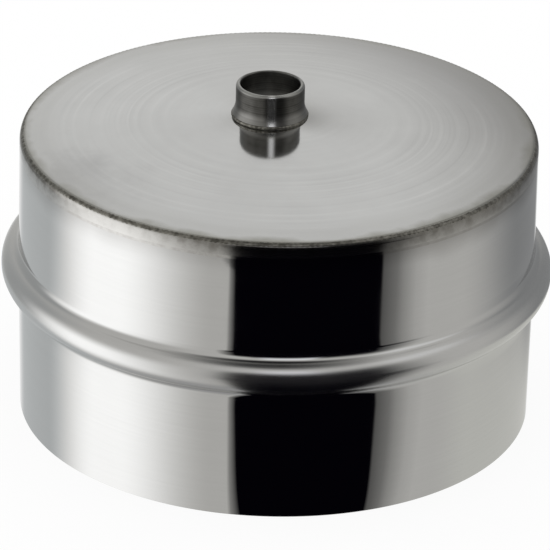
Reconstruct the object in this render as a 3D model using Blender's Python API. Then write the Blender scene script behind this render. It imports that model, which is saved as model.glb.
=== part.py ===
"""End cap for a single-wall flue: a rolled sleeve, a domed end disc welded over it, and a drain spigot.

The cap stands on its open end at z = 0, with the disc and the spigot on top. All sizes are in metres.
"""
import math

import bmesh
import bpy

SEAT_GAP = 0.0003  # air left between pieces that touch

# Sleeve: stainless sheet rolled into a tube, welded lengthwise, with one bead rolled outwards
SLEEVE_SHEET = 0.0005
CAP_HEIGHT = 0.0740  # open end to the plane of the disc's edge
HEAD_RADIUS = 0.0650  # outside of the wall just below the disc's flange
BEAD_WALL_RADIUS = 0.0652  # outside of the wall where it meets the bead
OPEN_RADIUS = 0.0649  # outside of the wall at the open end
BEAD_LEVEL = 0.0387  # height of the bead's middle
BEAD_PROUD = 0.0044
BEAD_CREST_RADIUS = 0.0045
BEAD_FOOT_RADIUS = 0.0010
JOGGLE_RUN = 0.0005  # length of the step that lets the flange lie nearly flush
SEAM_AZIMUTH = math.radians(90)
SEAM_WIDTH = 0.0030
SEAM_PROUD = 0.0002

# End disc: one pressing, domed, with a rounded edge and a short flange outside the sleeve
DISC_SHEET = 0.0005
FLANGE_PROUD = 0.0002
FLANGE_DEPTH = 0.0037
EDGE_RADIUS = 0.0010
DOME_RISE = 0.0046
DOME_POWER = 1.6  # 1 is a cone, 2 is a shallow bowl
NECK_RISE = 0.0018  # height to which the sheet is drawn up round the spigot
NECK_SPREAD = 0.0115

# Drain spigot: short tube with a flared foot, welded into a hole in the disc
SPIGOT_X = -0.0025
SPIGOT_Y = -0.0022
SPIGOT_RADIUS = 0.0086
SPIGOT_WALL = 0.0011
SPIGOT_HEIGHT = 0.0080  # rim above the foot
SPIGOT_TAIL = 0.0009  # length left below the disc
FOOT_FLARE = 0.0009
FOOT_RUN = 0.0032
RIM_ROUND = 0.0003

# Facets
WALL_SEGMENTS = 72
SPIGOT_SEGMENTS = 36
CREST_STEPS = 10
FOOT_STEPS = 3
EDGE_STEPS = 4
DISC_RINGS = 11
UNDER_RINGS = 6
SMOOTH_ANGLE = math.radians(40)

FLANGE_RADIUS = HEAD_RADIUS + FLANGE_PROUD
JOGGLE_RADIUS = FLANGE_RADIUS - DISC_SHEET - SEAT_GAP
FLANGE_FOOT = CAP_HEIGHT - FLANGE_DEPTH
DISC_EDGE_RADIUS = FLANGE_RADIUS - EDGE_RADIUS
HOLE_RADIUS = SPIGOT_RADIUS + SEAT_GAP
FOOT_RADIUS = SPIGOT_RADIUS + FOOT_FLARE


def clear_scene():
    for thing in list(bpy.data.objects):
        bpy.data.objects.remove(thing, do_unlink=True)


def steel(name, colour, roughness):
    material = bpy.data.materials.new(name)
    material.use_nodes = True
    shader = material.node_tree.nodes["Principled BSDF"]
    shader.inputs["Base Color"].default_value = (*colour, 1.0)
    shader.inputs["Metallic"].default_value = 1.0
    shader.inputs["Roughness"].default_value = roughness
    material.diffuse_color = (*colour, 1.0)
    return material


def arc(centre_r, centre_z, radius, start, end, steps):
    """Points (r, z) on an arc; angles are measured from the outward direction towards +Z."""
    points = []
    for step in range(steps + 1):
        angle = start + (end - start) * step / steps
        points.append((centre_r + radius * math.cos(angle), centre_z + radius * math.sin(angle)))
    return points


def circle(centre_x, centre_y, radius, segments):
    turn = 2 * math.pi / segments
    return [(centre_x + radius * math.cos(k * turn), centre_y + radius * math.sin(k * turn))
            for k in range(segments)]


def skin(name, rings, material):
    """Joins rings of points, and the last to the first, into one closed ring-shaped body."""
    mesh = bpy.data.meshes.new(name)
    shape = bmesh.new()
    loops = [[shape.verts.new(point) for point in ring] for ring in rings]
    for index, loop in enumerate(loops):
        following = loops[(index + 1) % len(loops)]
        for k in range(len(loop)):
            n = (k + 1) % len(loop)
            shape.faces.new((loop[k], following[k], following[n], loop[n]))
    bmesh.ops.recalc_face_normals(shape, faces=shape.faces)
    shape.to_mesh(mesh)
    shape.free()
    mesh.shade_smooth()
    mesh.set_sharp_from_angle(angle=SMOOTH_ANGLE)
    mesh.materials.append(material)
    piece = bpy.data.objects.new(name, mesh)
    bpy.context.collection.objects.link(piece)
    return piece


def sleeve_wall(inset):
    """The sleeve's section (r, z) from the head down to the open end, inset from its outside."""
    crest_r = BEAD_WALL_RADIUS + BEAD_PROUD - BEAD_CREST_RADIUS
    foot_r = BEAD_WALL_RADIUS + BEAD_FOOT_RADIUS
    reach = BEAD_CREST_RADIUS + BEAD_FOOT_RADIUS
    lean = math.asin((foot_r - crest_r) / reach)
    spread = reach * math.cos(lean)
    foot_radius = BEAD_FOOT_RADIUS + inset
    crest_end = math.pi / 2 - lean
    upper_foot = arc(foot_r, BEAD_LEVEL + spread, foot_radius, math.pi, 1.5 * math.pi - lean, FOOT_STEPS)
    crest = arc(crest_r, BEAD_LEVEL, BEAD_CREST_RADIUS - inset, crest_end, -crest_end, CREST_STEPS)
    lower_foot = arc(foot_r, BEAD_LEVEL - spread, foot_radius, math.pi / 2 + lean, math.pi, FOOT_STEPS)
    head = CAP_HEIGHT - EDGE_RADIUS - SEAT_GAP
    joggle_top = FLANGE_FOOT - SEAT_GAP
    return ([(JOGGLE_RADIUS - inset, head),
             (JOGGLE_RADIUS - inset, joggle_top),
             (HEAD_RADIUS - inset, joggle_top - JOGGLE_RUN)]
            + upper_foot + crest[1:-1] + lower_foot
            + [(OPEN_RADIUS - inset, 0.0)])


def sleeve_ring(radius, height, weld):
    """A ring of the sleeve, with the lengthwise weld standing weld proud of it."""
    half_seam = SEAM_WIDTH / 2 / HEAD_RADIUS
    turn = 2 * math.pi / WALL_SEGMENTS
    stations = [(SEAM_AZIMUTH + k * turn, 0.0) for k in range(1, WALL_SEGMENTS)]
    stations += [(SEAM_AZIMUTH - half_seam, 0.0), (SEAM_AZIMUTH, weld), (SEAM_AZIMUTH + half_seam, 0.0)]
    return [((radius + proud) * math.cos(angle), (radius + proud) * math.sin(angle), height)
            for angle, proud in stations]


def make_sleeve(material):
    outside = [sleeve_ring(r, z, SEAM_PROUD) for r, z in sleeve_wall(0.0)]
    inside = [sleeve_ring(r, z, -SEAM_PROUD) for r, z in sleeve_wall(SLEEVE_SHEET)]
    return skin("cap_sleeve", outside + inside[::-1], material)


def dome_height(x, y):
    """Height of the disc's outer face over the plane of its edge."""
    share = min(math.hypot(x, y) / DISC_EDGE_RADIUS, 1.0)
    from_hole = max(math.hypot(x - SPIGOT_X, y - SPIGOT_Y) - HOLE_RADIUS, 0.0)
    neck = NECK_RISE * math.exp(-from_hole / NECK_SPREAD)
    return DOME_RISE * (1 - share ** DOME_POWER) + neck * (1 - share)


def face_rings(count, drop):
    """Rings of the disc's face from the hole, centred on the spigot, out to the round edge."""
    rings = []
    for k in range(count + 1):
        share = k / count
        radius = HOLE_RADIUS + (DISC_EDGE_RADIUS - HOLE_RADIUS) * share
        towards_hole = (1 - share) ** 2
        plan = circle(SPIGOT_X * towards_hole, SPIGOT_Y * towards_hole, radius, WALL_SEGMENTS)
        rings.append([(x, y, CAP_HEIGHT + dome_height(x, y) - drop) for x, y in plan])
    return rings


def edge_rings(inset):
    """Rings round the disc's edge and down its flange, inset from the outside."""
    corner = arc(DISC_EDGE_RADIUS, CAP_HEIGHT - EDGE_RADIUS, EDGE_RADIUS - inset, math.pi / 2, 0.0, EDGE_STEPS)
    section = corner[1:] + [(FLANGE_RADIUS - inset, FLANGE_FOOT)]
    return [[(x, y, z) for x, y in circle(0.0, 0.0, r, WALL_SEGMENTS)] for r, z in section]


def make_disc(material):
    outside = face_rings(DISC_RINGS, 0.0) + edge_rings(0.0)
    inside = face_rings(UNDER_RINGS, DISC_SHEET) + edge_rings(DISC_SHEET)
    return skin("end_disc", outside + inside[::-1], material)


def spigot_foot_level():
    """Height of the spigot's foot, just clear of the highest point of the disc under it."""
    under_foot = circle(SPIGOT_X, SPIGOT_Y, HOLE_RADIUS, SPIGOT_SEGMENTS)
    return CAP_HEIGHT + max(dome_height(x, y) for x, y in under_foot) + SEAT_GAP


def make_spigot(material):
    foot = spigot_foot_level()
    rim = foot + SPIGOT_HEIGHT
    bore = SPIGOT_RADIUS - SPIGOT_WALL
    tail = foot - SEAT_GAP - DISC_SHEET - SPIGOT_TAIL
    section = ([(bore, tail), (bore, rim - RIM_ROUND), (bore + RIM_ROUND, rim)]
               + arc(SPIGOT_RADIUS - RIM_ROUND, rim - RIM_ROUND, RIM_ROUND, math.pi / 2, 0.0, 2)
               + [(SPIGOT_RADIUS, foot + FOOT_RUN),
                  (SPIGOT_RADIUS + FOOT_FLARE / 4, foot + FOOT_RUN * 0.6),
                  (FOOT_RADIUS, foot + RIM_ROUND),
                  (FOOT_RADIUS - RIM_ROUND, foot),
                  (SPIGOT_RADIUS, foot),
                  (SPIGOT_RADIUS, tail)])
    rings = [[(x, y, z) for x, y in circle(SPIGOT_X, SPIGOT_Y, r, SPIGOT_SEGMENTS)] for r, z in section]
    return skin("drain_spigot", rings, material)


clear_scene()
make_sleeve(steel("bright_sheet", (0.62, 0.62, 0.61), 0.12))
make_disc(steel("spun_sheet", (0.60, 0.60, 0.59), 0.20))
make_spigot(steel("turned_tube", (0.55, 0.55, 0.54), 0.25))
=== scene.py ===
"""Looks of a welded stainless end cap for a flue, standing on its open end with the drain spigot up.

Everything is in metres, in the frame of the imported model: z = 0 is the open end, and +Z is up.
"""
import math

import bmesh
import bpy
from mathutils import Matrix, Vector


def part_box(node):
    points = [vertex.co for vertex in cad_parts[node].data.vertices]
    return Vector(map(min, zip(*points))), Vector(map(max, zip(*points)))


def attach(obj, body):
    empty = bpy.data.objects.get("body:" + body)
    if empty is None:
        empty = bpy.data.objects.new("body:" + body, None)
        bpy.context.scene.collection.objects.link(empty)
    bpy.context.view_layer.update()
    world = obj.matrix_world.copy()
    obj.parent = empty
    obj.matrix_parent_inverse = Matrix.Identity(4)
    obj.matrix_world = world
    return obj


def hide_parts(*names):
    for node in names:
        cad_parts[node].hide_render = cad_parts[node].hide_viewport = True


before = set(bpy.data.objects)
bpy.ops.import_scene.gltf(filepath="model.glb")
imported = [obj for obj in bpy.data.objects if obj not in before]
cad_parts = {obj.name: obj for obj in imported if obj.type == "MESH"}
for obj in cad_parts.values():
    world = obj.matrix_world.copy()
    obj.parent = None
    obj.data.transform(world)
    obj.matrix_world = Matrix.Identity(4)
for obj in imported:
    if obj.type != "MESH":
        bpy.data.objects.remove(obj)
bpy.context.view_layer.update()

# Sleeve
# The real sleeve is 0.5 mm bright annealed stainless sheet, rolled round and welded along the back, with
# one stop bead rolled outwards through it, so that it is a groove inside. The upper end is stepped in by
# the sheet's thickness, so that the disc's flange lies nearly flush round it.
SHEET = 0.0005
SEAT_GAP = 0.0003  # between the solids of the sleeve and the disc, where the weld is
CAP_HEIGHT = 0.0740  # open end to the plane of the disc's edge
HEAD_RADIUS = 0.0650
BEAD_WALL_RADIUS = 0.0652  # outside of the wall where it meets the bead
OPEN_RADIUS = 0.0649
BEAD_LEVEL = 0.0387
BEAD_PROUD = 0.0044
BEAD_CREST_RADIUS = 0.0045
BEAD_FOOT_RADIUS = 0.0024
FLANGE_RADIUS = 0.0652  # of the solid; the drawn flange is dressed flush with the wall
FLANGE_DEPTH = 0.0037
JOGGLE_RADIUS = FLANGE_RADIUS - SHEET - SEAT_GAP
JOGGLE_RUN = 0.0005
EDGE_RADIUS = 0.0010  # of the solid, too
ROUND_SEGMENTS = 288
CREST_STEPS = 40
FOOT_STEPS = 12
UPPER_WALL_STEPS = 10
LOWER_WALL_STEPS = 12
SMOOTH_ANGLE = math.radians(35)
# height, count round the sleeve, and phase per metre of each wave
SHEET_WAVES = [(0.000010, 9, 45.0), (0.000006, 17, -95.0), (0.000003, 31, 150.0)]


def arc(centre_r, centre_z, radius, start, end, steps):
    """Points (r, z) on an arc; angles are measured from the outward direction towards +Z."""
    turn = (end - start) / steps
    return [(centre_r + radius * math.cos(start + k * turn), centre_z + radius * math.sin(start + k * turn))
            for k in range(steps + 1)]


def straight(start, end, steps):
    """Points (r, z) from start towards end, without the end itself."""
    return [(start[0] + (end[0] - start[0]) * k / steps, start[1] + (end[1] - start[1]) * k / steps)
            for k in range(steps)]


def ring(radius, height, segments, centre=(0.0, 0.0)):
    """Points of a level ring round a centre in plan."""
    turn = 2 * math.pi / segments
    return [(centre[0] + radius * math.cos(k * turn), centre[1] + radius * math.sin(k * turn), height)
            for k in range(segments)]


def rolled(points):
    """The same points on thin rolled sheet, which is never quite round."""
    waved = []
    for x, y, z in points:
        turn = math.atan2(y, x)
        out = sum(high * math.sin(turns * turn + phase * z) for high, turns, phase in SHEET_WAVES)
        scale = 1 + out / math.hypot(x, y)
        waved.append((x * scale, y * scale, z))
    return waved


def skinned(name, rings, closed=True):
    """One smooth body from rings of points; closed joins the last ring to the first."""
    shape = bmesh.new()
    loops = [[shape.verts.new(point) for point in points] for points in rings]
    for index in range(len(loops) if closed else len(loops) - 1):
        loop, following = loops[index], loops[(index + 1) % len(loops)]
        for k in range(len(loop)):
            n = (k + 1) % len(loop)
            shape.faces.new((loop[k], following[k], following[n], loop[n]))
    bmesh.ops.recalc_face_normals(shape, faces=shape.faces)
    mesh = bpy.data.meshes.new(name)
    shape.to_mesh(mesh)
    shape.free()
    mesh.shade_smooth()
    mesh.set_sharp_from_angle(angle=SMOOTH_ANGLE)
    piece = bpy.data.objects.new(name, mesh)
    bpy.context.collection.objects.link(piece)
    return piece


def sleeve_section(inset):
    """The sleeve's section from the head down to the open end, inset from its outside."""
    crest_r = BEAD_WALL_RADIUS + BEAD_PROUD - BEAD_CREST_RADIUS
    foot_r = BEAD_WALL_RADIUS + BEAD_FOOT_RADIUS
    reach = BEAD_CREST_RADIUS + BEAD_FOOT_RADIUS
    lean = math.asin((foot_r - crest_r) / reach)
    spread = reach * math.cos(lean)
    foot = BEAD_FOOT_RADIUS + inset
    crest_end = math.pi / 2 - lean
    upper = arc(foot_r, BEAD_LEVEL + spread, foot, math.pi, 1.5 * math.pi - lean, FOOT_STEPS)
    crest = arc(crest_r, BEAD_LEVEL, BEAD_CREST_RADIUS - inset, crest_end, -crest_end, CREST_STEPS)
    lower = arc(foot_r, BEAD_LEVEL - spread, foot, math.pi / 2 + lean, math.pi, FOOT_STEPS)
    joggle_top = CAP_HEIGHT - FLANGE_DEPTH - SEAT_GAP
    joggle_r = JOGGLE_RADIUS - inset
    joggle = [(joggle_r, CAP_HEIGHT - EDGE_RADIUS - SEAT_GAP), (joggle_r, joggle_top)]
    head = (HEAD_RADIUS - inset, joggle_top - JOGGLE_RUN)
    end = (OPEN_RADIUS - inset, 0.0)
    return (joggle + straight(head, upper[0], UPPER_WALL_STEPS) + upper + crest[1:-1] + lower
            + straight(lower[-1], end, LOWER_WALL_STEPS)[1:] + [end])


sleeve = skinned("sleeve", [rolled(ring(r, z, ROUND_SEGMENTS)) for r, z in
                            sleeve_section(0.0) + sleeve_section(SHEET)[::-1]])


def linear(hex_colour):
    """An sRGB hex colour as linear RGBA."""
    channels = [int(hex_colour[k:k + 2], 16) / 255 for k in (1, 3, 5)]
    return [c / 12.92 if c <= 0.04045 else ((c + 0.055) / 1.055) ** 2.4 for c in channels] + [1.0]


def add(tree, kind, settings=None, **links):
    """Adds a node. Settings are its properties. Each link is a value or an output for the input of that
    name, or of that number where the name is an i and a number."""
    node = tree.nodes.new(kind)
    for key, value in (settings or {}).items():
        setattr(node, key, value)
    for key, value in links.items():
        numbered = key[0] == "i" and key[1:].isdigit()
        socket = node.inputs[int(key[1:]) if numbered else key.replace("_", " ")]
        if isinstance(value, bpy.types.NodeSocket):
            tree.links.new(value, socket)
        else:
            socket.default_value = value
    return node


def new_steel(name):
    """A new steel with its node tree, its shader and, for its patterns, the place on the part in metres."""
    steel = bpy.data.materials.new(name)
    steel.use_nodes = True
    tree = steel.node_tree
    shader = tree.nodes["Principled BSDF"]
    shader.inputs["Metallic"].default_value = 1.0
    return steel, tree, shader, add(tree, "ShaderNodeTexCoord").outputs["Object"]


# Bright annealed stainless: cold rolled and furnace bright, so nearly a mirror, with faint rolling lines
# round the sleeve, slow clouds in the gloss, a straw tint beside the lengthwise weld, and a grey band under
# the disc of heat grey and painted shade, stronger on the right. The real lines are some hundredths of a
# millimetre apart and are drawn 0.7 mm apart, to show at all.
SMOOTH = {"interpolation_type": "SMOOTHSTEP"}
COLOURS = {"data_type": "RGBA"}
PLUS = {"operation": "ADD"}
MINUS = {"operation": "SUBTRACT"}
TIMES = {"operation": "MULTIPLY"}
OVER = {"operation": "DIVIDE"}
TIMES_PLUS = {"operation": "MULTIPLY_ADD"}
ABSOLUTE = {"operation": "ABSOLUTE"}
ANGLE_OF = {"operation": "ARCTAN2"}
MOST_NOISE = {"From_Min": 0.3, "From_Max": 0.7}  # where nearly all of a noise texture's values lie
CONTRAST = {"From_Min": 0.35, "From_Max": 0.65}
NOISE_MIDDLE = 0.5
ROLLING_LINE = (0.030, 1.0, 0.0007)  # length round the sleeve, no matter, and pitch
ROLLING_DEPTH = 0.0000012
ROLLING_STRENGTH = 0.5
GLOSS_CLOUD = 0.014
GLOSS_ROUGHNESS = (0.035, 0.075)
TINT_REACH = 0.0060  # to each side of the lengthwise weld's middle
TINT_STRENGTH = 0.7
HAZE_REACH = 0.0080  # below the disc's edge
HAZE_RAGGED = 0.004
HAZE_STRENGTH = (0.46, 0.74)  # on the left, and on the right
RIGHT_SHADE_REACH = 0.040  # over this width from the middle to the right, the painted shade on the right grows darker
STRETCH_DULL = 0.17  # the rolled bead is stretched, which dulls the sheet
STRETCH_ENDS = (0.0036, 0.0048)  # from the bead's middle

bright_annealed, tree, shader, place = new_steel("bright_annealed_stainless")
apart = add(tree, "ShaderNodeSeparateXYZ", Vector=place)
ahead = add(tree, "ShaderNodeMath", TIMES, i0=apart.outputs["Y"], i1=-1.0)
turn = add(tree, "ShaderNodeMath", ANGLE_OF, i0=apart.outputs["X"], i1=ahead.outputs[0])
round_it = add(tree, "ShaderNodeMath", TIMES, i0=turn.outputs[0], i1=HEAD_RADIUS)
unrolled = add(tree, "ShaderNodeCombineXYZ", X=round_it.outputs[0], Z=apart.outputs["Z"])
drawn_out = add(tree, "ShaderNodeVectorMath", OVER, i0=unrolled.outputs[0], i1=ROLLING_LINE)
lines = add(tree, "ShaderNodeTexNoise", Vector=drawn_out.outputs[0], Scale=1.0, Detail=3.0, Roughness=0.6)
clouds = add(tree, "ShaderNodeTexNoise", Vector=place, Scale=1 / GLOSS_CLOUD, Detail=2.0)
sheet = add(tree, "ShaderNodeMix", COLOURS, Factor=lines.outputs[0],
            i6=linear("#cdcdcc"), i7=linear("#d3d3d2"))
aside = add(tree, "ShaderNodeMath", ABSOLUTE, i0=round_it.outputs[0])
tint = add(tree, "ShaderNodeMapRange", SMOOTH, Value=aside.outputs[0],
           From_Min=math.pi * HEAD_RADIUS - TINT_REACH, From_Max=math.pi * HEAD_RADIUS, To_Max=TINT_STRENGTH)
tinted = add(tree, "ShaderNodeMix", COLOURS, Factor=tint.outputs[0],
             i6=sheet.outputs[2], i7=linear("#c2ab7c"))
# a grey band under the disc: heat grey and painted shade, stronger on the right
haze_place = add(tree, "ShaderNodeMath", TIMES_PLUS, i0=clouds.outputs[0], i1=HAZE_RAGGED,
                 i2=apart.outputs["Z"])
haze = add(tree, "ShaderNodeMapRange", SMOOTH, Value=haze_place.outputs[0],
           From_Min=CAP_HEIGHT - HAZE_REACH, From_Max=CAP_HEIGHT)
strength = add(tree, "ShaderNodeMapRange", SMOOTH, Value=apart.outputs["X"],
               From_Min=0.0, From_Max=RIGHT_SHADE_REACH, To_Min=HAZE_STRENGTH[0], To_Max=HAZE_STRENGTH[1])
haze = add(tree, "ShaderNodeMath", TIMES, i0=haze.outputs[0], i1=strength.outputs[0])
hazed = add(tree, "ShaderNodeMix", COLOURS, Factor=haze.outputs[0],
            i6=tinted.outputs[2], i7=linear("#8e8c89"))
tree.links.new(hazed.outputs[2], shader.inputs["Base Color"])
gloss = add(tree, "ShaderNodeMapRange", Value=clouds.outputs[0], To_Min=GLOSS_ROUGHNESS[0],
            To_Max=GLOSS_ROUGHNESS[1], **MOST_NOISE)
from_bead = add(tree, "ShaderNodeMath", MINUS, i0=apart.outputs["Z"], i1=BEAD_LEVEL)
from_bead = add(tree, "ShaderNodeMath", ABSOLUTE, i0=from_bead.outputs[0])
stretched = add(tree, "ShaderNodeMapRange", SMOOTH, Value=from_bead.outputs[0],
                From_Min=STRETCH_ENDS[0], From_Max=STRETCH_ENDS[1], To_Min=STRETCH_DULL, To_Max=0.0)
duller = add(tree, "ShaderNodeMath", PLUS, i0=gloss.outputs[0], i1=stretched.outputs[0])
tree.links.new(duller.outputs[0], shader.inputs["Roughness"])
scored = add(tree, "ShaderNodeBump", Height=lines.outputs[0], Strength=ROLLING_STRENGTH,
             Distance=ROLLING_DEPTH)
tree.links.new(scored.outputs[0], shader.inputs["Normal"])
sleeve.data.materials.append(bright_annealed)
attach(sleeve, "root")
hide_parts("cap_sleeve")

# Sleeve's lengthwise weld
# A machine-made TIG seam closes the rolled sheet at the back. It goes through the sheet, stands a little
# proud on both sides, follows the bead, and shows the arrow-shaped ripples of the moving arc.
SEAM_WIDTH = 0.0030
SEAM_PROUD = 0.0002
SEAM_SINK = 0.05  # share of its height by which its edges dip into the sheet
SEAM_RIPPLE = 0.0012
SEAM_RIPPLE_DEPTH = 0.22  # share of its height
SEAM_ARROW = 2.2  # radians between a ripple's middle and its ends
SEAM_STEP = 0.0002
SEAM_COLUMNS = 10


def measured(section, step):
    """Points (r, z, way) at equal steps of way along a section."""
    places, gone = [], 0.0
    for (r0, z0), (r1, z1) in zip(section, section[1:]):
        places.append((gone, r0, z0, r1, z1))
        gone += math.hypot(r1 - r0, z1 - z0)
    points, index = [], 0
    for k in range(int(gone / step) + 1):
        way = k * step
        while index + 1 < len(places) and places[index + 1][0] <= way:
            index += 1
        begin, r0, z0, r1, z1 = places[index]
        share = (way - begin) / max(math.hypot(r1 - r0, z1 - z0), step / 100)
        points.append((r0 + (r1 - r0) * share, z0 + (z1 - z0) * share, way))
    return points


def seam_side(inset, outward):
    """One face of the seam: a row of points across it for each step down the sleeve, below the joggle."""
    path = measured(sleeve_section(inset)[2:], SEAM_STEP)
    rows = []
    for k, (r, z, way) in enumerate(path):
        r0, z0, _ = path[max(k - 1, 0)]
        r1, z1, _ = path[min(k + 1, len(path) - 1)]
        length = math.hypot(r1 - r0, z1 - z0)
        out_r, out_z = -(z1 - z0) / length * outward, (r1 - r0) / length * outward
        row = []
        for c in range(SEAM_COLUMNS + 1):
            across = 2 * c / SEAM_COLUMNS - 1
            ripple = math.cos(2 * math.pi * way / SEAM_RIPPLE + SEAM_ARROW * across * across)
            swell = 1 - SEAM_RIPPLE_DEPTH + SEAM_RIPPLE_DEPTH * ripple
            proud = SEAM_PROUD * ((1 - across * across) * swell - SEAM_SINK)
            turn = math.pi / 2 + across * SEAM_WIDTH / 2 / HEAD_RADIUS
            out = r + proud * out_r
            row.append((out * math.cos(turn), out * math.sin(turn), z + proud * out_z))
        rows.append(row)
    return rows


outer_side = seam_side(0.0, 1.0)
inner_side = seam_side(SHEET, -1.0)
seam = skinned("sleeve_seam", [outer + inner[::-1] for outer, inner in zip(outer_side, inner_side)],
               closed=False)
seam_shape = bmesh.new()
seam_shape.from_mesh(seam.data)
bmesh.ops.holes_fill(seam_shape, edges=seam_shape.edges, sides=0)
bmesh.ops.recalc_face_normals(seam_shape, faces=seam_shape.faces)
seam_shape.to_mesh(seam.data)
seam_shape.free()

# TIG weld left as welded: bright, a little rougher than the sheet, straw to brown where the heat coloured it.
TINT_PATCH = 0.004
TINTED_ROUGHNESS = (0.30, 0.18)

tinted_weld, tree, shader, place = new_steel("heat_tinted_stainless_weld")
patches = add(tree, "ShaderNodeTexNoise", Vector=place, Scale=1 / TINT_PATCH, Detail=3.0)
tint = add(tree, "ShaderNodeMapRange", Value=patches.outputs[0], **CONTRAST)
colour = add(tree, "ShaderNodeMix", COLOURS, Factor=tint.outputs[0],
             i6=linear("#a89a7c"), i7=linear("#c3bfb4"))
tree.links.new(colour.outputs[2], shader.inputs["Base Color"])
dull = add(tree, "ShaderNodeMapRange", Value=patches.outputs[0],
           To_Min=TINTED_ROUGHNESS[0], To_Max=TINTED_ROUGHNESS[1], **MOST_NOISE)
tree.links.new(dull.outputs[0], shader.inputs["Roughness"])
seam.data.materials.append(tinted_weld)
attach(seam, "root")
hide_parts("cap_sleeve")

# End disc
# One stainless pressing: the face is domed by a few millimetres, its edge is rounded and turned down
# round the sleeve's end, and the sheet is drawn up a little round the hole for the spigot.
DOME_RISE = 0.0046
DOME_POWER = 1.6  # 1 is a cone, 2 is a shallow bowl
NECK_RISE = 0.0018  # height to which the sheet is drawn up round the spigot
NECK_SPREAD = 0.0115
SPIGOT_PLACE = (-0.0025, -0.0022)
HOLE_RADIUS = 0.0089
EDGE_ROUND = 0.0018  # radius of the rounded edge, softer than the solid's
DISC_EDGE_RADIUS = FLANGE_RADIUS - EDGE_RADIUS
FACE_RINGS = 170
UNDER_RINGS = 20
CORNER_STEPS = 16
# radius, half-width and height of each ring mark
SPIN_RINGS = [(0.0305, 0.0007, -0.0000006), (0.0365, 0.0008, 0.0000006), (0.0398, 0.0008, -0.0000012),
              (0.0424, 0.0006, 0.0000014), (0.0446, 0.0007, -0.0000016), (0.0476, 0.0009, 0.0000018),
              (0.0500, 0.0007, -0.0000012), (0.0524, 0.0007, 0.0000018), (0.0548, 0.0006, -0.0000014),
              (0.0566, 0.0007, 0.0000020), (0.0592, 0.0008, -0.0000018), (0.0612, 0.0007, 0.0000014)]


def dome_height(x, y):
    """Height of the disc's face over the plane of its edge, with the faint rings that spinning leaves."""
    radius = math.hypot(x, y)
    share = min(radius / DISC_EDGE_RADIUS, 1.0)
    from_hole = max(math.hypot(x - SPIGOT_PLACE[0], y - SPIGOT_PLACE[1]) - HOLE_RADIUS, 0.0)
    dome = DOME_RISE * (1 - share ** DOME_POWER)
    neck = NECK_RISE * math.exp(-from_hole / NECK_SPREAD) * (1 - share)
    rings = sum(high * math.exp(-((radius - place) / width) ** 2) for place, width, high in SPIN_RINGS)
    return dome + neck + rings


EDGE_SLOPE = math.atan(DOME_RISE * DOME_POWER / DISC_EDGE_RADIUS)
EDGE_START = math.pi / 2 - EDGE_SLOPE
FACE_RADIUS = HEAD_RADIUS - EDGE_ROUND * (1 - math.cos(EDGE_START))
EDGE_LEVEL = CAP_HEIGHT + dome_height(FACE_RADIUS, 0.0) - EDGE_ROUND * math.sin(EDGE_START)


def face_rings(count, drop):
    """Rings of the face from the hole, centred on the spigot, out to where the rounded edge begins."""
    rings = []
    for k in range(count + 1):
        share = k / count
        radius = HOLE_RADIUS + (FACE_RADIUS - HOLE_RADIUS) * share
        towards_hole = (1 - share) ** 2
        centre = (SPIGOT_PLACE[0] * towards_hole, SPIGOT_PLACE[1] * towards_hole)
        rings.append([(x, y, CAP_HEIGHT + dome_height(x, y) - drop)
                      for x, y, _ in ring(radius, 0.0, ROUND_SEGMENTS, centre)])
    return rings


def edge_rings(inset):
    """Rings round the rounded edge and down the flange, whose foot follows the sleeve's waves."""
    corner = arc(HEAD_RADIUS - EDGE_ROUND, EDGE_LEVEL, EDGE_ROUND - inset, EDGE_START, 0.0, CORNER_STEPS)
    foot = rolled(ring(HEAD_RADIUS - inset, CAP_HEIGHT - FLANGE_DEPTH, ROUND_SEGMENTS))
    return [ring(r, z, ROUND_SEGMENTS) for r, z in corner[1:]] + [foot]


disc = skinned("disc", face_rings(FACE_RINGS, 0.0) + edge_rings(0.0)
               + (face_rings(UNDER_RINGS, SHEET) + edge_rings(SHEET))[::-1])

# Spun and lightly polished stainless: a soft mirror with faint rings and clouds, a handling smudge at the
# left front, painted shade towards the right rear, and a grey halo beside the edge weld, narrow and dark with
# a wide faint one inside it, which is heat grey and painted shade of the rounded edge. The flange is dull and
# mottled with heat, paler towards its foot, brightest at the left front, and browner on the right with
# painted shade. The tool's real marks are some tenths of a millimetre apart and are drawn 2.1 mm apart, to
# show.
RING_PITCH = 0.0021
RING_PATCH = 0.030
RING_PATCHES = (0.15, 0.75)  # how strong the rings are between patches, and in them
RING_BELT = (0.026, 0.040, 0.050, 0.058)  # the rings come in between two radii and fade between two
RINGS_OFF_BELT = (0.2, 0.35)  # inside it, and outside it
RING_TONE = 1.3
FACE_TONE = 0.55
CLOUD_TONE = 0.5
CLOUD = 0.019
MOTTLE = 0.0026
MOTTLE_CONTRAST = {"From_Min": 0.35, "From_Max": 0.6}
SMUDGE_PLACE = (-0.050, -0.033, 0.0)
SMUDGE_RADIUS = 0.021
SMUDGE_RAGGED = 0.04
SMUDGE_TONE = 0.42
HALO = (0.0605, 0.0650)  # radii over which it comes in
FAINT_HALO = (0.0545, 0.0595)
HALO_RAGGED = 0.010
HALO_GREY = 0.85
FAINT_GREY = 0.14
SHADE_SIDE = (0.80, 0.60, 0.0)  # painted shade is darkest towards this side, the right rear
SHADE_SIDE_REACH = (0.022, 0.078)  # along that direction from the middle
SHADE_SIDE_GREY = 0.87
PALE_SIDE = (-0.616, -0.788, 0.0)  # the flange is brightest here
PALE_REACH = (0.060, 0.065)
PALE_STRENGTH = 0.58
RIGHT_SHADE_STRENGTH = 0.5
RIGHT_SHADE_FADES = 0.5  # share of it that is gone at the foot
FLANGE_START = (0.0643, 0.0648)  # radii over which the face gives way to the flange
FLANGE_RAGGED = 0.0007
COOL_START = 0.0015  # below the disc's edge
FACE_ROUGHNESS = 0.095
RING_GLOSS = 0.05
SMUDGE_DULL = 0.08
FLANGE_DULL = 0.05

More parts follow.
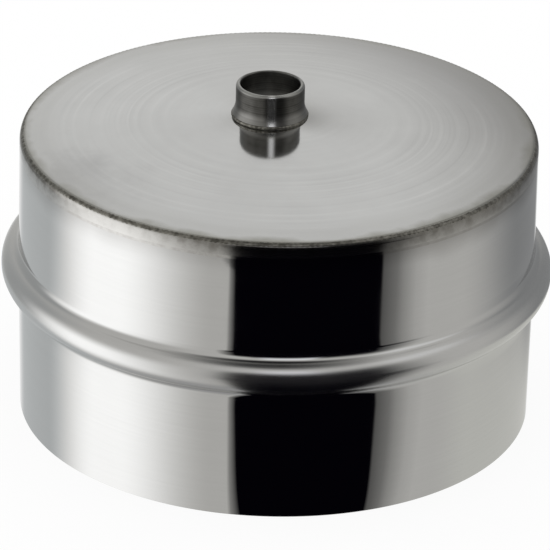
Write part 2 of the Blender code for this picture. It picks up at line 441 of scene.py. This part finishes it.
spun_face, tree, shader, place = new_steel("spun_stainless_face")
flat = add(tree, "ShaderNodeVectorMath", TIMES, i0=place, i1=(1.0, 1.0, 0.0)).outputs[0]
radius = add(tree, "ShaderNodeVectorMath", {"operation": "LENGTH"}, i0=flat).outputs["Value"]

# rings, strongest in a belt and in patches of it, on clouds and the smudge
pitches = add(tree, "ShaderNodeMath", OVER, i0=radius, i1=RING_PITCH).outputs[0]
rings = add(tree, "ShaderNodeTexNoise", {"noise_dimensions": "1D"}, W=pitches, Scale=1.0, Detail=3.0,
            Roughness=0.6)
patches = add(tree, "ShaderNodeTexNoise", Vector=flat, Scale=1 / RING_PATCH, Detail=1.0)
clouds = add(tree, "ShaderNodeTexNoise", Vector=flat, Scale=1 / CLOUD, Detail=4.0, Roughness=0.6)
patchy = add(tree, "ShaderNodeMapRange", Value=patches.outputs[0],
             To_Min=RING_PATCHES[0], To_Max=RING_PATCHES[1], **CONTRAST).outputs[0]
outside = add(tree, "ShaderNodeMapRange", SMOOTH, Value=radius, From_Min=RING_BELT[0], From_Max=RING_BELT[1],
              To_Min=RINGS_OFF_BELT[0]).outputs[0]
inside = add(tree, "ShaderNodeMapRange", SMOOTH, Value=radius, From_Min=RING_BELT[2], From_Max=RING_BELT[3],
             To_Min=1.0, To_Max=RINGS_OFF_BELT[1]).outputs[0]
belt = add(tree, "ShaderNodeMath", TIMES, i0=outside, i1=inside).outputs[0]
ring_strength = add(tree, "ShaderNodeMath", TIMES, i0=patchy, i1=belt).outputs[0]
ring_mark = add(tree, "ShaderNodeMath", MINUS, i0=rings.outputs[0], i1=NOISE_MIDDLE).outputs[0]
ring_mark = add(tree, "ShaderNodeMath", TIMES, i0=ring_mark, i1=ring_strength).outputs[0]
cloud_mark = add(tree, "ShaderNodeMath", MINUS, i0=clouds.outputs[0], i1=NOISE_MIDDLE).outputs[0]
from_smudge = add(tree, "ShaderNodeVectorMath", {"operation": "DISTANCE"}, i0=flat, i1=SMUDGE_PLACE)
ragged = add(tree, "ShaderNodeMath", TIMES_PLUS, i0=cloud_mark, i1=SMUDGE_RAGGED,
             i2=from_smudge.outputs["Value"]).outputs[0]
smudge = add(tree, "ShaderNodeMapRange", SMOOTH, Value=ragged, From_Max=SMUDGE_RADIUS,
             To_Min=SMUDGE_TONE, To_Max=0.0).outputs[0]
tone = add(tree, "ShaderNodeMath", TIMES_PLUS, i0=ring_mark, i1=RING_TONE, i2=FACE_TONE).outputs[0]
tone = add(tree, "ShaderNodeMath", TIMES_PLUS, i0=cloud_mark, i1=CLOUD_TONE, i2=tone).outputs[0]
tone = add(tree, "ShaderNodeMath", MINUS, i0=tone, i1=smudge).outputs[0]
face = add(tree, "ShaderNodeMix", COLOURS, Factor=tone, i6=linear("#b3b3b2"), i7=linear("#d2d2d1")).outputs[2]

# painted shade towards the right rear of the face, and the two halos of heat grey and painted shade
side_shade = add(tree, "ShaderNodeVectorMath", {"operation": "DOT_PRODUCT"}, i0=flat, i1=SHADE_SIDE).outputs["Value"]
side_shade = add(tree, "ShaderNodeMapRange", SMOOTH, Value=side_shade, From_Min=SHADE_SIDE_REACH[0], From_Max=SHADE_SIDE_REACH[1],
          To_Max=SHADE_SIDE_GREY).outputs[0]
face = add(tree, "ShaderNodeMix", COLOURS, Factor=side_shade, i6=face, i7=linear("#868584")).outputs[2]
# two halos by the edge: heat grey, and painted shade of the rounded edge
halo_place = add(tree, "ShaderNodeMath", TIMES_PLUS, i0=cloud_mark, i1=HALO_RAGGED, i2=radius).outputs[0]
halo = add(tree, "ShaderNodeMapRange", SMOOTH, Value=halo_place, From_Min=HALO[0], From_Max=HALO[1],
           To_Max=HALO_GREY).outputs[0]
faint_halo = add(tree, "ShaderNodeMapRange", SMOOTH, Value=halo_place, From_Min=FAINT_HALO[0],
                 From_Max=FAINT_HALO[1], To_Max=FAINT_GREY).outputs[0]
halo = add(tree, "ShaderNodeMath", {"operation": "MAXIMUM"}, i0=halo, i1=faint_halo).outputs[0]
heat_grey_and_shade = add(tree, "ShaderNodeMix", COLOURS, Factor=halo, i6=face, i7=linear("#93928b")).outputs[2]

# the flange: mottled, paler at its foot, brightest at the left front, and browner on the right with painted
# shade
on_flange = add(tree, "ShaderNodeMapRange", SMOOTH, Value=radius, From_Min=FLANGE_START[0],
                From_Max=FLANGE_START[1]).outputs[0]
mottle = add(tree, "ShaderNodeTexNoise", Vector=place, Scale=1 / MOTTLE, Detail=3.0, Roughness=0.6)
mottled = add(tree, "ShaderNodeMapRange", Value=mottle.outputs[0], **MOTTLE_CONTRAST).outputs[0]
flange = add(tree, "ShaderNodeMix", COLOURS, Factor=mottled,
             i6=linear("#7d7a75"), i7=linear("#94928e")).outputs[2]
apart = add(tree, "ShaderNodeSeparateXYZ", Vector=place)
cooler = add(tree, "ShaderNodeMath", TIMES_PLUS, i0=mottled, i1=-FLANGE_RAGGED,
             i2=apart.outputs["Z"]).outputs[0]
cooler = add(tree, "ShaderNodeMapRange", Value=cooler, From_Min=CAP_HEIGHT - FLANGE_DEPTH - FLANGE_RAGGED,
             From_Max=CAP_HEIGHT - COOL_START, To_Min=1.0, To_Max=0.0).outputs[0]
flange = add(tree, "ShaderNodeMix", COLOURS, Factor=cooler, i6=flange, i7=linear("#bdbcb9")).outputs[2]
paler_side = add(tree, "ShaderNodeVectorMath", {"operation": "DOT_PRODUCT"}, i0=flat, i1=PALE_SIDE).outputs["Value"]
paler_side = add(tree, "ShaderNodeMapRange", SMOOTH, Value=paler_side, From_Min=PALE_REACH[0], From_Max=PALE_REACH[1],
           To_Max=PALE_STRENGTH).outputs[0]
flange = add(tree, "ShaderNodeMix", COLOURS, Factor=paler_side, i6=flange, i7=linear("#cbcac7")).outputs[2]
# painted shade on the right of the flange, with less of it towards the foot
right_shade = add(tree, "ShaderNodeMapRange", SMOOTH, Value=apart.outputs["X"],
              From_Min=0.0, From_Max=RIGHT_SHADE_REACH, To_Max=RIGHT_SHADE_STRENGTH).outputs[0]
fading = add(tree, "ShaderNodeMath", TIMES_PLUS, i0=cooler, i1=-RIGHT_SHADE_FADES, i2=1.0).outputs[0]
right_shade = add(tree, "ShaderNodeMath", TIMES, i0=right_shade, i1=fading).outputs[0]
flange = add(tree, "ShaderNodeMix", COLOURS, Factor=right_shade, i6=flange, i7=linear("#7b7974")).outputs[2]
colour = add(tree, "ShaderNodeMix", COLOURS, Factor=on_flange, i6=heat_grey_and_shade, i7=flange)
tree.links.new(colour.outputs[2], shader.inputs["Base Color"])

soft = add(tree, "ShaderNodeMath", TIMES_PLUS, i0=ring_mark, i1=-RING_GLOSS, i2=FACE_ROUGHNESS).outputs[0]
soft = add(tree, "ShaderNodeMath", TIMES_PLUS, i0=smudge, i1=SMUDGE_DULL, i2=soft).outputs[0]
soft = add(tree, "ShaderNodeMath", TIMES_PLUS, i0=on_flange, i1=FLANGE_DULL, i2=soft).outputs[0]
tree.links.new(soft, shader.inputs["Roughness"])
disc.data.materials.append(spun_face)
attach(disc, "root")
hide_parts("end_disc")

# Edge welds
# The disc's edge is fused to the sleeve's end all round, and the flange's foot has a finer weld below it.
# The upper one is left as welded, a row of small ripples with a thin oxide. The lower one is ground flush.
RIPPLE_STEPS = 6
SECTION_STEPS = 14
RIPPLE_DEPTH = 0.06  # share of the bead's size
RIPPLE_LAG = 1.2  # radians, across the section
RIPPLE_PITCH = 0.0013
EDGE_WELD_TURN = math.radians(48)  # above level, on the rounded edge
EDGE_WELD_WIDE = 0.00062  # half of its width
EDGE_WELD_HIGH = 0.00028  # half of its thickness
EDGE_WELD_PROUD = 0.00006


def weld_bead(name, place, middle, wide, high, lean, pitch):
    """A rippled bead round a circle at place in plan. middle is the (r, z) of its section, which is an oval
    with half-axes wide, along the lean, and high, across it."""
    ripples = round(2 * math.pi * middle[0] / pitch)
    segments = RIPPLE_STEPS * ripples
    rings = []
    for s in range(SECTION_STEPS):
        angle = 2 * math.pi * s / SECTION_STEPS
        points = []
        for k in range(segments):
            turn = 2 * math.pi * k / segments
            swell = 1 + RIPPLE_DEPTH * math.cos(ripples * turn + RIPPLE_LAG * math.cos(angle))
            along, off = wide * swell * math.cos(angle), high * swell * math.sin(angle)
            r = middle[0] + along * math.cos(lean) - off * math.sin(lean)
            points.append((place[0] + r * math.cos(turn), place[1] + r * math.sin(turn),
                           middle[1] + along * math.sin(lean) + off * math.cos(lean)))
        rings.append(points)
    return skinned(name, rings)


weld_out = EDGE_ROUND - EDGE_WELD_HIGH + EDGE_WELD_PROUD
edge_weld = weld_bead("edge_weld", (0.0, 0.0),
                      (HEAD_RADIUS - EDGE_ROUND + weld_out * math.cos(EDGE_WELD_TURN),
                       EDGE_LEVEL + weld_out * math.sin(EDGE_WELD_TURN)),
                      EDGE_WELD_WIDE, EDGE_WELD_HIGH, EDGE_WELD_TURN - math.pi / 2, RIPPLE_PITCH)
groove_top = CAP_HEIGHT - FLANGE_DEPTH
groove_foot = groove_top - SEAT_GAP - JOGGLE_RUN
flange_weld = skinned("flange_weld", [
    rolled(ring(HEAD_RADIUS, level, ROUND_SEGMENTS)) for level in (groove_top, groove_foot)] + [
    ring(JOGGLE_RADIUS, level, ROUND_SEGMENTS) for level in (groove_top - SEAT_GAP, groove_top)])

# Oxidised stainless weld: a grey-brown film that dulls the ripples, brighter where a crest has been rubbed.
# Ground stainless weld: as smooth as the sheet, so only a trace of the heat's grey tells it from the wall.
# Both are browner on the right, with painted shade.
OXIDE_PATCH = 0.0012  # about one ripple


def weld_finish(name, dark, pale, smooth, dull, shade_on_right):
    """A weld's steel, dull where dark and smooth where pale. The last argument is how far painted shade
    browns it on the right.
    """
    finish, tree, shader, place = new_steel(name)
    film = add(tree, "ShaderNodeTexNoise", Vector=place, Scale=1 / OXIDE_PATCH, Detail=3.0)
    thick = add(tree, "ShaderNodeMapRange", Value=film.outputs[0], **CONTRAST)
    colour = add(tree, "ShaderNodeMix", COLOURS, Factor=thick.outputs[0], i6=linear(dark), i7=linear(pale))
    apart = add(tree, "ShaderNodeSeparateXYZ", Vector=place)
    # painted shade: the weld is browner on the right
    shaded_right = add(tree, "ShaderNodeMapRange", SMOOTH, Value=apart.outputs["X"],
                  From_Min=0.0, From_Max=RIGHT_SHADE_REACH, To_Max=shade_on_right)
    colour = add(tree, "ShaderNodeMix", COLOURS, Factor=shaded_right.outputs[0], i6=colour.outputs[2],
                 i7=linear("#8e8c89"))
    tree.links.new(colour.outputs[2], shader.inputs["Base Color"])
    rough = add(tree, "ShaderNodeMapRange", Value=film.outputs[0], To_Min=dull, To_Max=smooth, **MOST_NOISE)
    tree.links.new(rough.outputs[0], shader.inputs["Roughness"])
    return finish


oxidised_weld = weld_finish("oxidised_stainless_weld", dark="#5a5852", pale="#8a8881",
                            smooth=0.30, dull=0.44, shade_on_right=0.10)
ground_weld = weld_finish("ground_stainless_weld", dark="#b2b0ad", pale="#bfbebb",
                          smooth=0.06, dull=0.10, shade_on_right=0.62)
for weld, finish in ((edge_weld, oxidised_weld), (flange_weld, ground_weld)):
    weld.data.materials.append(finish)
    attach(weld, "root")
    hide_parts("end_disc")

# Drain spigot
# A short piece of 17.2 mm welded stainless pipe, turned outside, faced at the rim, and flared at the foot
# where a small fillet weld joins it to the drawn-up edge of the disc's hole.
SPIGOT_RADIUS = 0.0086
SPIGOT_WALL = 0.0011
SPIGOT_HEIGHT = 0.0080
SPIGOT_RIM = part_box("drain_spigot")[1][2]
SPIGOT_FOOT = SPIGOT_RIM - SPIGOT_HEIGHT
SPIGOT_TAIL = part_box("drain_spigot")[0][2]
FOOT_FLARE = 0.00082
FLARE_BEND = 1.8
FLARE_STEPS = 12
FOOT_RUN = 0.0032
FOOT_ROUND = 0.0003
RIM_ROUND = 0.0003
RIM_EDGE = 0.00075
ROUND_STEPS = 5
RIM_STEPS = 8
PIPE_SEGMENTS = 144

bore = SPIGOT_RADIUS - SPIGOT_WALL
flare_foot = SPIGOT_FOOT + FOOT_ROUND
flare_run = FOOT_RUN - FOOT_ROUND
flare = [(SPIGOT_RADIUS + FOOT_FLARE * (1 - k / FLARE_STEPS) ** FLARE_BEND,
          flare_foot + flare_run * k / FLARE_STEPS) for k in range(FLARE_STEPS, -1, -1)]
foot_edge = arc(SPIGOT_RADIUS + FOOT_FLARE - FOOT_ROUND, flare_foot, FOOT_ROUND, 0.0, -math.pi / 2,
                ROUND_STEPS)
bore_edge = arc(bore + RIM_ROUND, SPIGOT_RIM - RIM_ROUND, RIM_ROUND, math.pi, math.pi / 2, ROUND_STEPS)
rim_edge = arc(SPIGOT_RADIUS - RIM_EDGE, SPIGOT_RIM - RIM_EDGE, RIM_EDGE, math.pi / 2, 0.0, RIM_STEPS)
spigot_section = ([(bore, SPIGOT_TAIL), (bore, SPIGOT_RIM - RIM_ROUND)] + bore_edge[1:] + rim_edge
                  + flare + foot_edge[1:] + [(SPIGOT_RADIUS, SPIGOT_FOOT), (SPIGOT_RADIUS, SPIGOT_TAIL)])
spigot = skinned("spigot", [ring(r, z, PIPE_SEGMENTS, SPIGOT_PLACE) for r, z in spigot_section])

FILLET = 0.00050
FILLET_PITCH = 0.0011
spigot_weld = weld_bead("spigot_weld", SPIGOT_PLACE,
                        (SPIGOT_RADIUS + FOOT_FLARE - FILLET / 2, SPIGOT_FOOT - FILLET / 2),
                        FILLET, FILLET, 0.0, FILLET_PITCH)
spigot_weld.data.materials.append(oxidised_weld)

# Turned stainless pipe, dulled by the weld's heat; its flare is paler with a painted highlight. Its fine
# grooves run round it, so a lamp draws out into a stripe along it. The pipe's own seam faces the front and
# has been ground bright, and its bright stripe is also a painted highlight of the lamp; the faced rim is
# pale, with a painted highlight that makes it brightest in front. The real grooves are 0.1 mm apart and are
# drawn 0.45 mm apart.
GROOVE_PITCH = 0.00045
STAIN = 0.0032
WEAR_CONTRAST = {"From_Min": 0.7, "From_Max": 1.3}  # of grooves and stains together
FLARE_HIGHLIGHT_TOP = 0.0016  # up to here above the foot, the flare's painted highlight is strongest
FLARE_HIGHLIGHT = 0.5
RIM_STRENGTH = 0.55
RIM_AT_REAR = 0.15
RIM_TURN = 0.7 * SPIGOT_RADIUS  # behind the axis, where the rim starts to get brighter
STRIPE_TURN = math.radians(3.0)
STRIPE_HALF = math.radians(5.0)
STRIPE_FADE = math.radians(4.5)
PIPE_ROUGHNESS = (0.36, 0.28)
BRIGHT_ROUGHNESS = 0.21
GROOVE_STREAK = 0.6
ACROSS_GROOVES = 0.25  # of a turn

turned_pipe, tree, shader, place = new_steel("turned_stainless_pipe")
from_axis = add(tree, "ShaderNodeVectorMath", MINUS, i0=place, i1=(*SPIGOT_PLACE, 0.0)).outputs[0]
apart = add(tree, "ShaderNodeSeparateXYZ", Vector=from_axis)
ahead = add(tree, "ShaderNodeMath", TIMES, i0=apart.outputs["Y"], i1=-1.0).outputs[0]
turn = add(tree, "ShaderNodeMath", ANGLE_OF, i0=apart.outputs["X"], i1=ahead).outputs[0]
level = add(tree, "ShaderNodeMath", OVER, i0=apart.outputs["Z"], i1=GROOVE_PITCH).outputs[0]
grooves = add(tree, "ShaderNodeTexNoise", {"noise_dimensions": "1D"}, W=level, Scale=1.0, Detail=2.0)
stains = add(tree, "ShaderNodeTexNoise", Vector=place, Scale=1 / STAIN, Detail=4.0, Roughness=0.6)
wear = add(tree, "ShaderNodeMath", PLUS, i0=grooves.outputs[0], i1=stains.outputs[0]).outputs[0]
wear = add(tree, "ShaderNodeMapRange", Value=wear, **WEAR_CONTRAST).outputs[0]
pipe = add(tree, "ShaderNodeMix", COLOURS, Factor=wear, i6=linear("#4b4a47"), i7=linear("#6a6966")).outputs[2]
# painted highlight: the flare is paler towards its foot
flare_highlight = add(tree, "ShaderNodeMapRange", SMOOTH, Value=apart.outputs["Z"],
               From_Min=SPIGOT_FOOT + FLARE_HIGHLIGHT_TOP, From_Max=SPIGOT_FOOT + FOOT_RUN,
               To_Min=FLARE_HIGHLIGHT, To_Max=0.0).outputs[0]
pipe = add(tree, "ShaderNodeMix", COLOURS, Factor=flare_highlight, i6=pipe, i7=linear("#9c9b98")).outputs[2]
# a bright stripe down the front: the ground seam, and a painted highlight of the lamp over the camera
off_stripe = add(tree, "ShaderNodeMath", MINUS, i0=turn, i1=STRIPE_TURN).outputs[0]
off_stripe = add(tree, "ShaderNodeMath", ABSOLUTE, i0=off_stripe).outputs[0]
on_stripe = add(tree, "ShaderNodeMapRange", SMOOTH, Value=off_stripe, From_Min=STRIPE_HALF - STRIPE_FADE,
              From_Max=STRIPE_HALF + STRIPE_FADE, To_Min=1.0, To_Max=0.0).outputs[0]
pipe = add(tree, "ShaderNodeMix", COLOURS, Factor=on_stripe, i6=pipe, i7=linear("#e2e2df")).outputs[2]
# the faced rim is pale bare metal; that it is palest in front and faint at the rear is a painted highlight of
# the lamp over the camera
on_rim = add(tree, "ShaderNodeMapRange", SMOOTH, Value=apart.outputs["Z"], From_Min=SPIGOT_RIM - RIM_EDGE,
             From_Max=SPIGOT_RIM - RIM_EDGE / 3, To_Max=RIM_STRENGTH).outputs[0]
front_highlight = add(tree, "ShaderNodeMapRange", SMOOTH, Value=ahead, From_Min=-RIM_TURN, From_Max=0.0,
               To_Min=RIM_AT_REAR, To_Max=1.0).outputs[0]
on_rim = add(tree, "ShaderNodeMath", TIMES, i0=on_rim, i1=front_highlight).outputs[0]
pipe = add(tree, "ShaderNodeMix", COLOURS, Factor=on_rim, i6=pipe, i7=linear("#c0c0bd")).outputs[2]
tree.links.new(pipe, shader.inputs["Base Color"])
dull = add(tree, "ShaderNodeMapRange", Value=wear, To_Min=PIPE_ROUGHNESS[0],
           To_Max=PIPE_ROUGHNESS[1]).outputs[0]
bright = add(tree, "ShaderNodeMath", {"operation": "MAXIMUM"}, i0=on_stripe, i1=on_rim).outputs[0]
gloss = add(tree, "ShaderNodeMix", i0=bright, i2=dull, i3=BRIGHT_ROUGHNESS)
tree.links.new(gloss.outputs[0], shader.inputs["Roughness"])
shader.inputs["Anisotropic"].default_value = GROOVE_STREAK
shader.inputs["Anisotropic Rotation"].default_value = ACROSS_GROOVES
along = add(tree, "ShaderNodeTangent", {"direction_type": "RADIAL", "axis": "Z"})
tree.links.new(along.outputs[0], shader.inputs["Tangent"])
spigot.data.materials.append(turned_pipe)
for piece in (spigot, spigot_weld):
    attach(piece, "root")
    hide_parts("drain_spigot")

# Floor
# The cap stands on a plain white floor that runs out to the horizon. Reflections see the studio, not the
# floor, because the polished wall shows the same tones from top to bottom.
FLOOR_REACH = 40.0
FLOOR_CORNERS = [(-1, -1), (1, -1), (1, 1), (-1, 1)]
FLOOR_GLOW = 0.9
floor_mesh = bpy.data.meshes.new("floor")
floor_mesh.from_pydata([(FLOOR_REACH * x, FLOOR_REACH * y, 0.0) for x, y in FLOOR_CORNERS], [],
                       [(0, 1, 2, 3)])
floor = bpy.data.objects.new("floor", floor_mesh)
bpy.context.collection.objects.link(floor)
white_floor = bpy.data.materials.new("white_floor")
white_floor.use_nodes = True
tree = white_floor.node_tree
tree.nodes.clear()
paper = add(tree, "ShaderNodeBsdfDiffuse", Color=linear("#ffffff"))
glow = add(tree, "ShaderNodeEmission", Color=linear("#ffffff"))
lit = add(tree, "ShaderNodeLightPath")
seen_direct = add(tree, "ShaderNodeMath", {"operation": "MAXIMUM"}, i0=lit.outputs["Is Camera Ray"],
                  i1=lit.outputs["Is Glossy Ray"])
seen_at_all = add(tree, "ShaderNodeMath", {"operation": "MAXIMUM"}, i0=seen_direct.outputs[0],
                  i1=lit.outputs["Is Transmission Ray"])
share_of_glow = add(tree, "ShaderNodeMath", TIMES, i0=seen_at_all.outputs[0], i1=FLOOR_GLOW)
blend = add(tree, "ShaderNodeMixShader", Fac=share_of_glow.outputs[0],
            i1=paper.outputs[0], i2=glow.outputs[0])
add(tree, "ShaderNodeOutputMaterial", Surface=blend.outputs[0])
floor_mesh.materials.append(white_floor)
floor.visible_glossy = False

# Studio
# What the polished steel mirrors: pale grey walls, a white softbox on the left, a dark front with a lamp
# over the camera, a dark corner at the right rear and a white panel behind. Their places are angles seen
# from the cap. The camera sees plain white, and so does whatever lights the floor.
studio = bpy.data.worlds.new("studio")
bpy.context.scene.world = studio
studio.use_nodes = True
tree = studio.node_tree
tree.nodes.clear()
ray = add(tree, "ShaderNodeTexCoord").outputs["Generated"]
split = add(tree, "ShaderNodeSeparateXYZ", i0=ray)
toward = add(tree, "ShaderNodeMath", TIMES, i0=split.outputs["Y"], i1=-1.0).outputs[0]
from_front = add(tree, "ShaderNodeMath", ANGLE_OF, i0=split.outputs["X"], i1=toward).outputs[0]
from_back = add(tree, "ShaderNodeMath", ANGLE_OF, i0=split.outputs["X"], i1=split.outputs["Y"]).outputs[0]
height = add(tree, "ShaderNodeMath", {"operation": "ARCSINE"}, i0=split.outputs["Z"]).outputs[0]


def edge(angle, place, fade, rising, lean=0.0):
    """0 on one side of an angle in degrees and 1 on the other, fading over twice the fade. With a lean
    the edge moves by that many degrees for each degree of height."""
    if lean:
        angle = add(tree, "ShaderNodeMath", TIMES_PLUS, i0=height, i1=-lean, i2=angle).outputs[0]
    return add(tree, "ShaderNodeMapRange", SMOOTH, Value=angle,
               From_Min=math.radians(place - fade), From_Max=math.radians(place + fade),
               To_Min=0.0 if rising else 1.0, To_Max=1.0 if rising else 0.0).outputs[0]


def card(behind, tone, turn, left, right, bottom, top):
    """A card before what is behind it. Each of its four sides is (degrees, fade) or (degrees, fade, lean)."""
    mask = 1.0
    sides = ((turn, left, True), (turn, right, False), (height, bottom, True), (height, top, False))
    for angle, side, rising in sides:
        if side is not None:
            here = edge(angle, side[0], side[1], rising, *side[2:])
            mask = add(tree, "ShaderNodeMath", TIMES, i0=mask, i1=here).outputs[0]
    return add(tree, "ShaderNodeMix", COLOURS, Factor=mask, i6=behind, i7=tone).outputs[2]


def spot(behind, tone, turn, rise, radius, fade):
    """A round patch in the direction turn, rise, with its radius and fade in degrees, too."""
    turn, rise = math.radians(turn), math.radians(rise)
    middle = (math.cos(rise) * math.sin(turn), -math.cos(rise) * math.cos(turn), math.sin(rise))
    near = add(tree, "ShaderNodeVectorMath", {"operation": "DOT_PRODUCT"}, i0=ray, i1=middle).outputs["Value"]
    away = add(tree, "ShaderNodeMath", {"operation": "ARCCOSINE"}, i0=near).outputs[0]
    mask = edge(away, radius, fade, False)
    return add(tree, "ShaderNodeMix", COLOURS, Factor=mask, i6=behind, i7=tone).outputs[2]


def brighter(hex_colour, times):
    """An sRGB hex colour as linear RGBA, as many times as bright."""
    return [times * c for c in linear(hex_colour)[:3]] + [1.0]


# pale grey walls all round
seen = linear("#c9c8c5")
# white softbox at the left, with a grey curtain and a pale table behind it
seen = card(seen, linear("#c6c9ca"), from_front, None, (-108, 8), None, (-17, 3))
seen = card(seen, linear("#a9abab"), from_front, (-152, 20), (-108, 8), (-17, 3), (42, 12))
seen = card(seen, brighter("#f7f7f7", 1.60), from_front, (-105, 18), (-50.5, 24), (-46, 24), (20, 19))
# pale table at the right, paler wall above it, and a dark corner at the right rear
seen = card(seen, linear("#d4d4cf"), from_front, (88, 12), None, None, (-27, 2))
seen = card(seen, linear("#e8e8e8"), from_front, (62, 12), (105, 14), (42, 10), (62, 10))
seen = card(seen, linear("#8d8e8f"), from_front, (111, 24), (165, 14), (-26.3, 1.2), (42, 12))
seen = card(seen, linear("#8d8e8f"), from_front, (150, 10), (171, 8), (-26.3, 1.2), (-5, 8))
# white table and panel behind
seen = card(seen, brighter("#f4f4f4", 0.95), from_back, (-18, 8), (10, 6), (-30, 4), (-10, 7))
seen = card(seen, brighter("#f0f0ef", 0.98), from_back, (-12, 6), (3.4, 3.6, 0.16), (10, 11), (50, 8))
# dark in front over the black card, a lamp over the camera, a dark patch overhead, and a grey one below that
# is painted shade of the floor round the cap's foot
seen = card(seen, linear("#4c4c4c"), from_front, (-10, 5), (56, 13), (-20, 2), (45, 12))
seen = card(seen, brighter("#fafaff", 0.92), from_front, (-7, 5), (21, 4), (21, 5), (60, 9))
seen = spot(seen, linear("#2c2c2c"), 0, 88, 17, 11)
seen = spot(seen, linear("#acacac"), 0, -90, 30, 14)

mirrored = add(tree, "ShaderNodeBackground", Color=seen)
plain = add(tree, "ShaderNodeBackground", Color=linear("#ffffff"))
path_of_light = add(tree, "ShaderNodeLightPath")
choice = add(tree, "ShaderNodeMixShader", Fac=path_of_light.outputs["Is Glossy Ray"],
             i1=plain.outputs[0], i2=mirrored.outputs[0])
add(tree, "ShaderNodeOutputWorld", Surface=choice.outputs[0])

# In front of the cap a dark sheet lies on the table, a painted shadow of the cap, and a black card stands on
# it 0.2 m away. Only reflections see them. The shadow's lines run out from the cap's foot in a fan: each is
# the place where it starts, its heading, and how dark it is there. The card's rows and columns are places and
# darkness, too.
SHADOW_TUCK = 0.010
SHADOW_REACH = 0.5
SHADOW_ROWS = 40
SHADOW_LEVEL = 0.00005
SHADOW_EDGES = [((-0.0125, -0.0690), -21.3, 0.0), ((-0.0116, -0.0694), -20.5, 0.5),
               ((-0.0094, -0.0702), -18.7, 1.0), ((0.0255, -0.0634), 48.1, 1.0),
               ((0.0262, -0.0629), 48.9, 0.80), ((0.0282, -0.0610), 55.5, 0.63),
               ((0.0293, -0.0598), 59.0, 0.43), ((0.0312, -0.0574), 65.6, 0.14),
               ((0.0335, -0.0550), 72.0, 0.0)]
CARD_DISTANCE = 0.2
CARD_COLUMNS = [(-0.076, 0.0), (-0.062, 0.6), (-0.050, 1.0), (0.155, 1.0), (0.175, 0.0)]
CARD_ROWS = [(0.0, 1.0), (0.118, 1.0), (0.150, 0.5), (0.182, 0.0)]


def dark_sheet(name, rows):
    """A sheet that only reflections see. Each row is a list of (place, darkness)."""
    across = len(rows[0])
    faces = [(r * across + k, r * across + k + 1, (r + 1) * across + k + 1, (r + 1) * across + k)
             for r in range(len(rows) - 1) for k in range(across - 1)]
    mesh = bpy.data.meshes.new(name)
    mesh.from_pydata([point for row in rows for point, _ in row], [], faces)
    darkness = mesh.attributes.new("darkness", "FLOAT", "POINT")
    for k, dark in enumerate(dark for row in rows for _, dark in row):
        darkness.data[k].value = dark
    sheet = bpy.data.objects.new(name, mesh)
    bpy.context.collection.objects.link(sheet)
    sheet.visible_camera = False
    sheet.visible_diffuse = False
    sheet.visible_shadow = False
    return sheet


shadow_rows = []
for k in range(SHADOW_ROWS + 1):
    away = -SHADOW_TUCK + (SHADOW_REACH + SHADOW_TUCK) * (k / SHADOW_ROWS) ** 2
    row = []
    for (x, y), heading, dark in SHADOW_EDGES:
        heading = math.radians(heading)
        row.append(((x + away * math.sin(heading), y - away * math.cos(heading), SHADOW_LEVEL), dark))
    shadow_rows.append(row)
painted_cap_shadow = dark_sheet("painted_cap_shadow", shadow_rows)
black_card = dark_sheet("black_card", [[((x, -CARD_DISTANCE, z), across * up) for x, across in CARD_COLUMNS]
                                       for z, up in CARD_ROWS])
# Black card, and painted shadow of the cap on the table: they swallow nearly all light, with a trace of blue,
# and their edges melt into what is behind.
black_card_and_shadow = bpy.data.materials.new("black_card_and_shadow")
black_card_and_shadow.use_nodes = True
tree = black_card_and_shadow.node_tree
tree.nodes.clear()
dark = add(tree, "ShaderNodeAttribute", {"attribute_name": "darkness"})
unlit = add(tree, "ShaderNodeEmission", Color=linear("#040308"))
clear = add(tree, "ShaderNodeBsdfTransparent")
dark_or_clear = add(tree, "ShaderNodeMixShader", Fac=dark.outputs["Fac"], i1=clear.outputs[0], i2=unlit.outputs[0])
add(tree, "ShaderNodeOutputMaterial", Surface=dark_or_clear.outputs[0])
for sheet in (painted_cap_shadow, black_card):
    sheet.data.materials.append(black_card_and_shadow)

# Camera
# A long lens a good metre away, looking down at about 24 degrees and turned slightly about its axis, as
# fitted to the outlines of the disc, the bead, the foot and the spigot.
DISC_CENTRE = Vector((0.0, 0.0, CAP_HEIGHT))
CAMERA_LENS = 334.3
CAMERA_DISTANCE = 1.279135
CAMERA_RISE = math.radians(24.2583)
CAMERA_ROLL = math.radians(1.3368)
CAMERA_AIM = Vector((-0.00027755, 0.0, -0.0395967))  # from the disc's centre
camera_data = bpy.data.cameras.new("camera")
camera_data.sensor_width = 36.0
camera_data.lens = CAMERA_LENS
camera_data.clip_end = 5 * FLOOR_REACH
camera = bpy.data.objects.new("camera", camera_data)
bpy.context.collection.objects.link(camera)
eye = DISC_CENTRE + CAMERA_DISTANCE * Vector((0, -math.cos(CAMERA_RISE), math.sin(CAMERA_RISE)))
forward = (DISC_CENTRE + CAMERA_AIM - eye).normalized()
side = forward.cross(Vector((0, 0, 1))).normalized()
up = side.cross(forward)
camera.matrix_world = (Matrix.Translation(eye) @ Matrix((side, up, -forward)).transposed().to_4x4()
                       @ Matrix.Rotation(CAMERA_ROLL, 4, "Z"))
bpy.context.scene.camera = camera
bpy.context.scene.view_settings.view_transform = "Standard"
